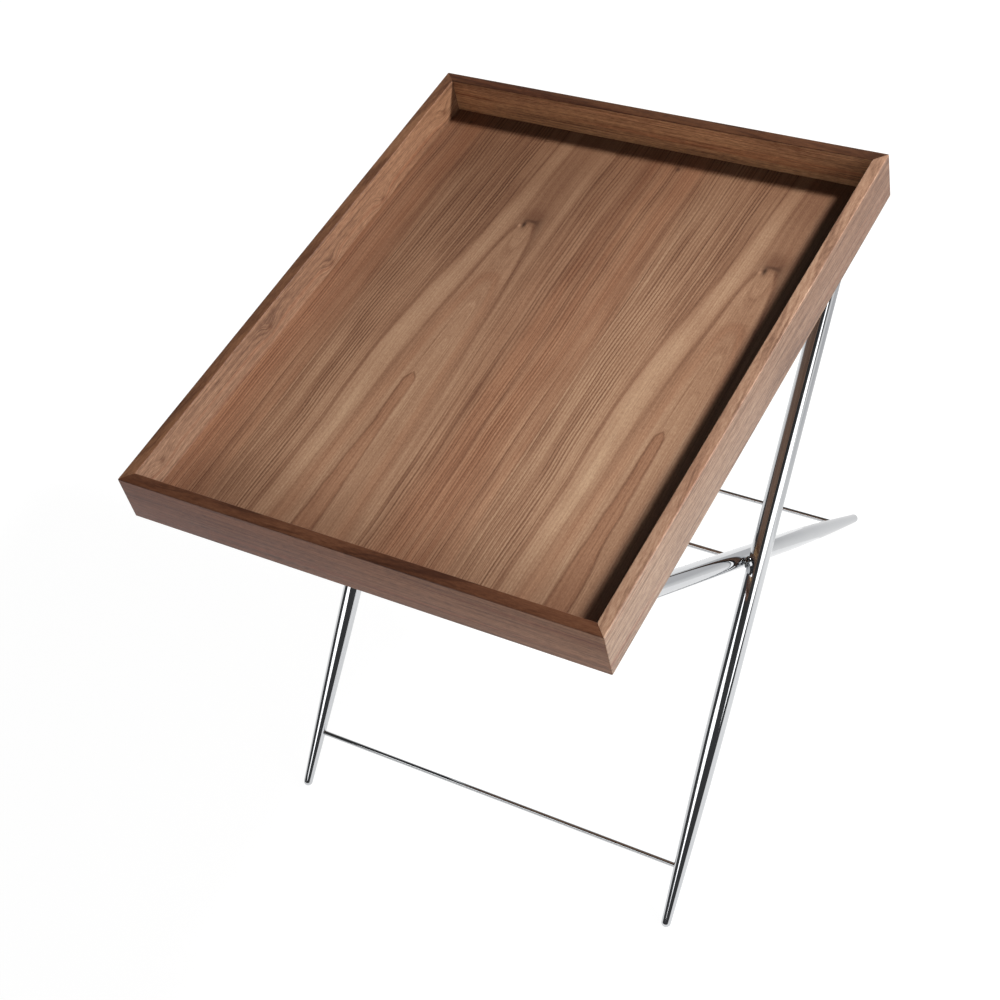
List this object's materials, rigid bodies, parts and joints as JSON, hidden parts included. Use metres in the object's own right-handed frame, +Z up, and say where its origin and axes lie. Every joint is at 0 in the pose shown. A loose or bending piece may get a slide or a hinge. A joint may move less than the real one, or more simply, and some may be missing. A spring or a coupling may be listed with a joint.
{
  "type": "folding tray table",
  "caption": "Shallow rectangular walnut tray resting on a folding scissor stand of tapered chrome tube legs joined by thin cross rods.",
  "frame": {"origin": "on the floor, under the middle of the tray", "axes": "+X to the right along the cross rods, +Y to the back along the tray's length, +Z up"},
  "size_m": [0.485, 0.6, 0.525],
  "materials": {
    "walnut_panel": "satin lacquered walnut veneer, grain along Y",
    "walnut_rail": "satin lacquered solid walnut, grain along each rail",
    "hardwood": "bare planed beech",
    "chrome": "bright mirror plated steel",
    "fixing_steel": "zinc plated",
    "nylon": "natural nylon",
    "cap_plastic": "fine matt black moulding"
  },
  "bodies": {
    "outer_frame": {"leg_outer_left": "chrome", "leg_outer_right": "chrome", "leg_cap_outer_left": "cap_plastic", "leg_cap_outer_right": "cap_plastic", "top_rod_outer": "chrome", "foot_rod_outer": "chrome", "pivot_rod": "chrome", "pivot_washer_left": "chrome", "pivot_washer_right": "chrome", "pivot_insert_left": "fixing_steel", "pivot_insert_right": "fixing_steel"},
    "inner_frame": {"leg_inner_left": "chrome", "leg_inner_right": "chrome", "leg_cap_inner_left": "cap_plastic", "leg_cap_inner_right": "cap_plastic", "top_rod_inner": "chrome", "foot_rod_inner": "chrome", "pivot_bush_left": "nylon", "pivot_bush_right": "nylon"},
    "tray": {"tray_panel": "walnut_panel", "rail_left": "walnut_rail", "rail_right": "walnut_rail", "rail_front": "walnut_rail", "rail_back": "walnut_rail", "mitre_key_front_left": "hardwood", "mitre_key_front_right": "hardwood", "mitre_key_back_left": "hardwood", "mitre_key_back_right": "hardwood", "saddle_front": "hardwood", "saddle_back": "hardwood", "saddle_screw_front_1": "fixing_steel", "saddle_screw_front_2": "fixing_steel", "saddle_screw_front_3": "fixing_steel", "saddle_screw_back_1": "fixing_steel", "saddle_screw_back_2": "fixing_steel", "saddle_screw_back_3": "fixing_steel"}
  },
  "joints": [
    {"name": "tray_lift", "type": "slide", "parent": "outer_frame", "child": "tray", "axis": [0, 0, 1], "range_m": [0, 0.4]},
    {"name": "leg_fold", "type": "hinge", "parent": "outer_frame", "child": "inner_frame", "pos_m": [0, 0, 0.251], "axis": [-1, 0, 0], "range_deg": [0, 92]}
  ],
  "couplings": [
    {"joint": "leg_fold", "follows": "tray_lift", "rad_per_m": 4}
  ]
}
